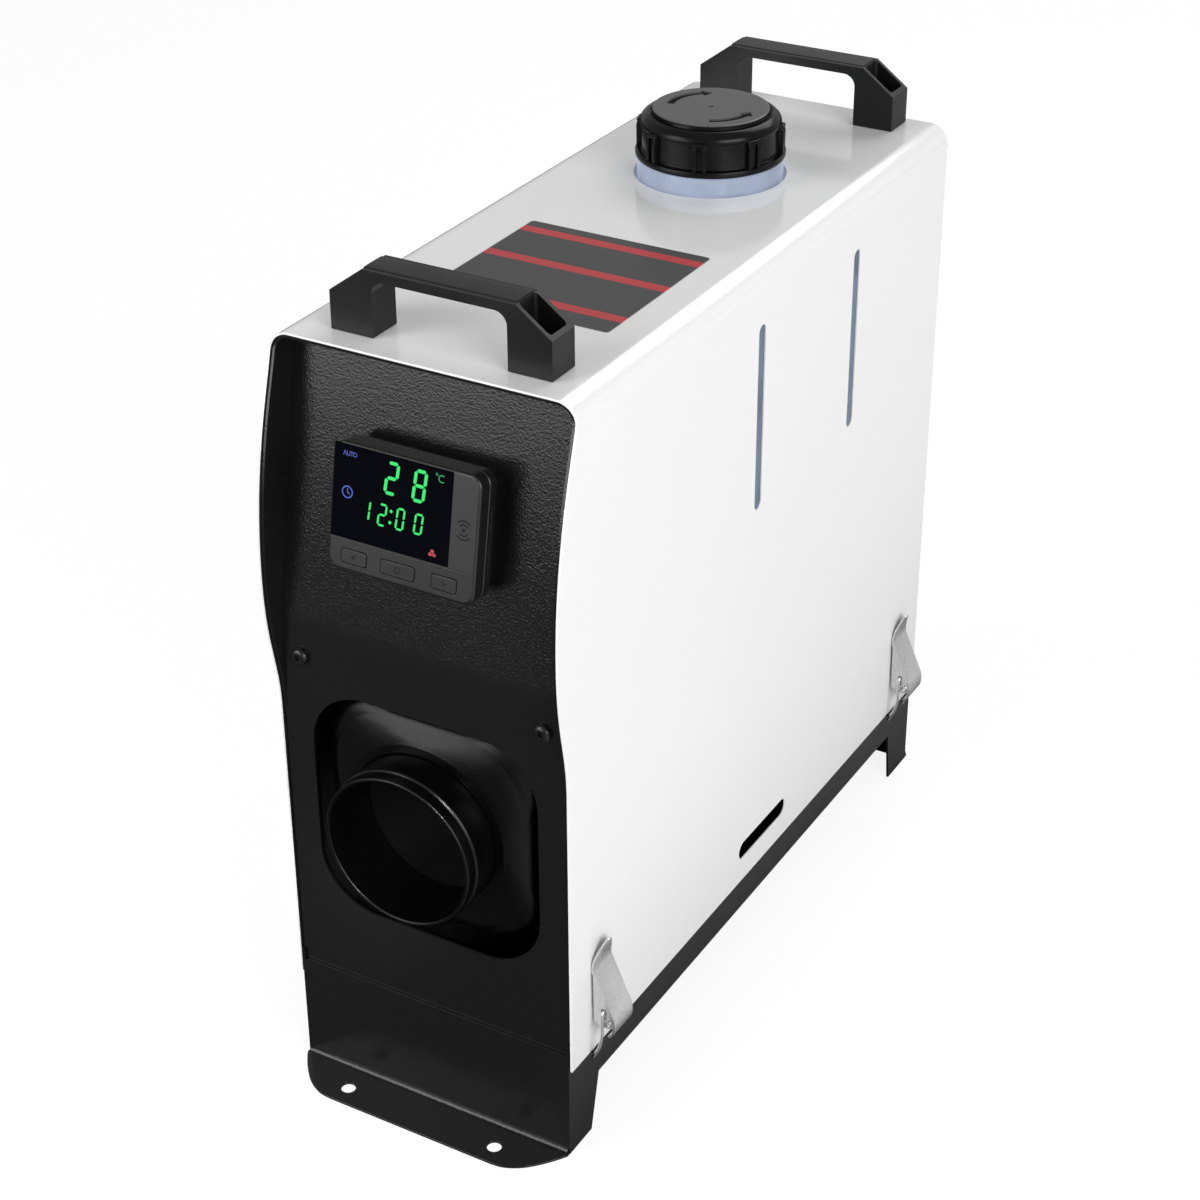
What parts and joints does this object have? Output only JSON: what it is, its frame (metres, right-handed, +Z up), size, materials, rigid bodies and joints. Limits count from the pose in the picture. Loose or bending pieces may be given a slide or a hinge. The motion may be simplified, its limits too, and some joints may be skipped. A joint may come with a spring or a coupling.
{
  "type": "diesel air heater",
  "caption": "Portable diesel air heater: white cover latched to a black bolt-down tray, fuel tank with screw cap, round hot-air outlet, leaning panel with push-button display.",
  "frame": {"origin": "on the ground under the middle of the box, which is the middle of the bounding box's base", "axes": "+X to the heater's right side as seen from the outlet's front with +Z up, +Y from the hot-air outlet to the back, +Z up"},
  "size_m": [0.175, 0.426, 0.411],
  "materials": {
    "white_paint": "gloss white paint on sheet steel",
    "black_powder_coat": "semi-gloss black powder coat with a fine orange-peel texture",
    "galvanised_steel": "dull zinc coating",
    "black_plastic": "moulded black, fine grain",
    "dark_grey_plastic": "moulded dark grey, satin",
    "display_window": "smooth black window over the display",
    "label_film": "printed film, charcoal with red bands",
    "tank_plastic": "bluish-white, slightly translucent",
    "black_rubber": "dull",
    "cast_aluminium": "rough casting",
    "bright_steel": "turned and plated",
    "black_screw_steel": "blackened steel",
    "plated_latch_steel": "bright plated sheet and wire",
    "circuit_board": "lacquered board"
  },
  "bodies": {
    "chassis": {"base_tray": "black_powder_coat", "outer_cover": "white_paint", "front_panel": "black_powder_coat", "back_panel": "black_powder_coat", "tank_shelf": "galvanised_steel", "front_panel_screw_left": "black_screw_steel", "front_panel_screw_right": "black_screw_steel", "back_panel_screw_left": "black_screw_steel", "back_panel_screw_right": "black_screw_steel", "front_handle": "black_plastic", "rear_handle": "black_plastic", "front_handle_screw_left": "black_screw_steel", "front_handle_screw_right": "black_screw_steel", "rear_handle_screw_left": "black_screw_steel", "rear_handle_screw_right": "black_screw_steel", "top_label": "label_film", "fuel_tank": "tank_plastic", "fuel_pump": "bright_steel", "pump_clamp": "black_rubber", "fuel_supply_hose": "black_rubber", "fuel_feed_hose": "black_rubber", "outlet_duct": "black_plastic", "heater_nose": "black_plastic", "heater_casing_upper": "black_plastic", "heater_casing_lower": "black_plastic", "heat_exchanger": "cast_aluminium", "burner_tube": "galvanised_steel", "glow_plug": "bright_steel", "fan_motor": "galvanised_steel", "intake_grille": "black_plastic", "control_board": "circuit_board", "heater_bracket": "black_powder_coat", "exhaust_pipe": "galvanised_steel", "combustion_air_pipe": "black_plastic", "cable_gland": "black_rubber", "wiring_loom": "black_rubber", "controller_cradle": "black_plastic", "controller_housing": "dark_grey_plastic", "controller_screen": "display_window", "latch_plate_front_right": "plated_latch_steel", "latch_plate_rear_right": "plated_latch_steel", "latch_plate_front_left": "plated_latch_steel", "latch_plate_rear_left": "plated_latch_steel"},
    "cap_carrier": {"cap_seal": "black_rubber"},
    "cap": {"fuel_cap": "black_plastic"},
    "fan_rotor": {"combustion_impeller": "cast_aluminium", "motor_shaft": "bright_steel", "blower_wheel": "black_plastic"},
    "button_down": {"button_down": "dark_grey_plastic"},
    "button_power": {"button_power": "dark_grey_plastic"},
    "button_up": {"button_up": "dark_grey_plastic"},
    "lever_front_right": {"latch_lever_front_right": "plated_latch_steel"},
    "bail_front_right": {"latch_bail_front_right": "plated_latch_steel"},
    "lever_rear_right": {"latch_lever_rear_right": "plated_latch_steel"},
    "bail_rear_right": {"latch_bail_rear_right": "plated_latch_steel"},
    "lever_front_left": {"latch_lever_front_left": "plated_latch_steel"},
    "bail_front_left": {"latch_bail_front_left": "plated_latch_steel"},
    "lever_rear_left": {"latch_lever_rear_left": "plated_latch_steel"},
    "bail_rear_left": {"latch_bail_rear_left": "plated_latch_steel"}
  },
  "joints": [
    {"name": "cap_lift", "type": "slide", "parent": "chassis", "child": "cap_carrier", "axis": [0, 0, 1], "range_m": [0, 0.006]},
    {"name": "cap_turn", "type": "hinge", "parent": "cap_carrier", "child": "cap", "pos_m": [0, 0.0755, 0.4005], "axis": [0, 0, 1], "range_deg": [0, 540]},
    {"name": "fan_spin", "type": "hinge", "parent": "chassis", "child": "fan_rotor", "pos_m": [0, 0.1093, 0.158], "axis": [0, 1, 0], "continuous": true},
    {"name": "down_press", "type": "slide", "parent": "chassis", "child": "button_down", "axis": [0, 0.9839, -0.1788], "range_m": [0, 0.0008], "stiffness_N_per_m": 600},
    {"name": "power_press", "type": "slide", "parent": "chassis", "child": "button_power", "axis": [0, 0.9839, -0.1788], "range_m": [0, 0.0008], "stiffness_N_per_m": 600},
    {"name": "up_press", "type": "slide", "parent": "chassis", "child": "button_up", "axis": [0, 0.9839, -0.1788], "range_m": [0, 0.0008], "stiffness_N_per_m": 600},
    {"name": "lever_front_right", "type": "hinge", "parent": "chassis", "child": "lever_front_right", "pos_m": [0.0838, -0.1632, 0.0686], "axis": [0, 1, 0], "range_deg": [0, 100]},
    {"name": "bail_front_right", "type": "hinge", "parent": "lever_front_right", "child": "bail_front_right", "pos_m": [0.0815, -0.1632, 0.0747], "axis": [0, 1, 0], "range_deg": [-100, 0]},
    {"name": "lever_rear_right", "type": "hinge", "parent": "chassis", "child": "lever_rear_right", "pos_m": [0.0838, 0.1628, 0.0686], "axis": [0, 1, 0], "range_deg": [0, 100]},
    {"name": "bail_rear_right", "type": "hinge", "parent": "lever_rear_right", "child": "bail_rear_right", "pos_m": [0.0815, 0.1628, 0.0747], "axis": [0, 1, 0], "range_deg": [-100, 0]},
    {"name": "lever_front_left", "type": "hinge", "parent": "chassis", "child": "lever_front_left", "pos_m": [-0.0838, -0.1632, 0.0686], "axis": [0, -1, 0], "range_deg": [0, 100]},
    {"name": "bail_front_left", "type": "hinge", "parent": "lever_front_left", "child": "bail_front_left", "pos_m": [-0.0815, -0.1632, 0.0747], "axis": [0, -1, 0], "range_deg": [-100, 0]},
    {"name": "lever_rear_left", "type": "hinge", "parent": "chassis", "child": "lever_rear_left", "pos_m": [-0.0838, 0.1628, 0.0686], "axis": [0, -1, 0], "range_deg": [0, 100]},
    {"name": "bail_rear_left", "type": "hinge", "parent": "lever_rear_left", "child": "bail_rear_left", "pos_m": [-0.0815, 0.1628, 0.0747], "axis": [0, -1, 0], "range_deg": [-100, 0]}
  ],
  "couplings": [
    {"joint": "cap_turn", "follows": "cap_lift", "rad_per_m": 1570},
    {"joint": "bail_front_right", "follows": "lever_front_right", "ratio": -1},
    {"joint": "bail_rear_right", "follows": "lever_rear_right", "ratio": -1},
    {"joint": "bail_front_left", "follows": "lever_front_left", "ratio": -1},
    {"joint": "bail_rear_left", "follows": "lever_rear_left", "ratio": -1}
  ]
}
